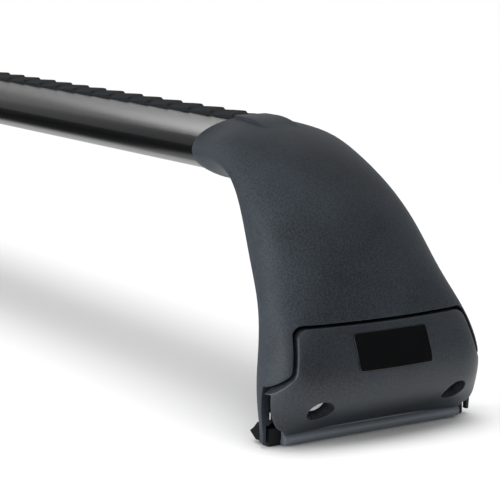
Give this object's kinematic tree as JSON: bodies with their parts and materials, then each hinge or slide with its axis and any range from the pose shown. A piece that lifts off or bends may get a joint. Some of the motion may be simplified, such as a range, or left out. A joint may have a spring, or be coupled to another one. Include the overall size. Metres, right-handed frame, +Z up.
{
  "type": "gutter mount roof rack",
  "caption": "Aero roof rack crossbar with a ribbed rubber top strip, carried on curved moulded legs whose bolted jaws clamp a vehicle's rain gutter.",
  "frame": {"origin": "on the surface the rack stands on, midway between the two feet, under the bar's middle", "axes": "+X along the bar to the leg that the picture shows, +Z up, +Y across the bar"},
  "size_m": [1.3552, 0.1202, 0.1395],
  "materials": {
    "bar_black": "black powder coat, satin gloss",
    "strip_rubber": "ribbed black rubber",
    "leg_plastic": "fine moulded grain",
    "cover_plastic": "fine moulded grain",
    "plate_black": "plain gloss black",
    "jaw_black": "black anodised",
    "foot_black": "black paint",
    "pad_rubber": "black rubber",
    "screw_black": "black zinc",
    "bolt_steel": "stainless, satin",
    "nut_steel": "zinc plated"
  },
  "bodies": {
    "root": {"crossbar": "bar_black", "rubber_strip": "strip_rubber", "leg_housing_right": "leg_plastic", "gutter_foot_right": "foot_black", "foot_pad_right": "pad_rubber", "foot_screws_right": "screw_black", "bar_screws_right": "screw_black", "nut_bar_right": "nut_steel", "leg_housing_left": "leg_plastic", "gutter_foot_left": "foot_black", "foot_pad_left": "pad_rubber", "foot_screws_left": "screw_black", "bar_screws_left": "screw_black", "nut_bar_left": "nut_steel"},
    "clamp_right": {"clamp_jaw_right": "jaw_black", "clamp_cover_right": "cover_plastic", "name_plate_right": "plate_black", "bolt_washers_right": "bolt_steel"},
    "bolt_front_right": {"clamp_bolt_front_right": "bolt_steel"},
    "bolt_rear_right": {"clamp_bolt_rear_right": "bolt_steel"},
    "clamp_left": {"clamp_jaw_left": "jaw_black", "clamp_cover_left": "cover_plastic", "name_plate_left": "plate_black", "bolt_washers_left": "bolt_steel"},
    "bolt_front_left": {"clamp_bolt_front_left": "bolt_steel"},
    "bolt_rear_left": {"clamp_bolt_rear_left": "bolt_steel"}
  },
  "joints": [
    {"name": "clamp_slide_right", "type": "slide", "parent": "root", "child": "clamp_right", "axis": [0.8387, 0, -0.5446], "range_m": [0, 0.007]},
    {"name": "bolt_front_right_turn", "type": "hinge", "parent": "clamp_right", "child": "bolt_front_right", "pos_m": [0.6685, -0.0378, 0.0182], "axis": [0.8387, 0, -0.5446], "range_deg": [-1, 2521]},
    {"name": "bolt_rear_right_turn", "type": "hinge", "parent": "clamp_right", "child": "bolt_rear_right", "pos_m": [0.6685, 0.0378, 0.0182], "axis": [0.8387, 0, -0.5446], "range_deg": [-1, 2521]},
    {"name": "clamp_slide_left", "type": "slide", "parent": "root", "child": "clamp_left", "axis": [-0.8387, 0, -0.5446], "range_m": [0, 0.007]},
    {"name": "bolt_front_left_turn", "type": "hinge", "parent": "clamp_left", "child": "bolt_front_left", "pos_m": [-0.6685, -0.0378, 0.0182], "axis": [-0.8387, 0, -0.5446], "range_deg": [-1, 2521]},
    {"name": "bolt_rear_left_turn", "type": "hinge", "parent": "clamp_left", "child": "bolt_rear_left", "pos_m": [-0.6685, 0.0378, 0.0182], "axis": [-0.8387, 0, -0.5446], "range_deg": [-1, 2521]}
  ],
  "couplings": [
    {"joint": "bolt_front_right_turn", "follows": "clamp_slide_right", "rad_per_m": 6283.2},
    {"joint": "bolt_rear_right_turn", "follows": "clamp_slide_right", "rad_per_m": 6283.2},
    {"joint": "bolt_front_left_turn", "follows": "clamp_slide_left", "rad_per_m": 6283.2},
    {"joint": "bolt_rear_left_turn", "follows": "clamp_slide_left", "rad_per_m": 6283.2}
  ]
}
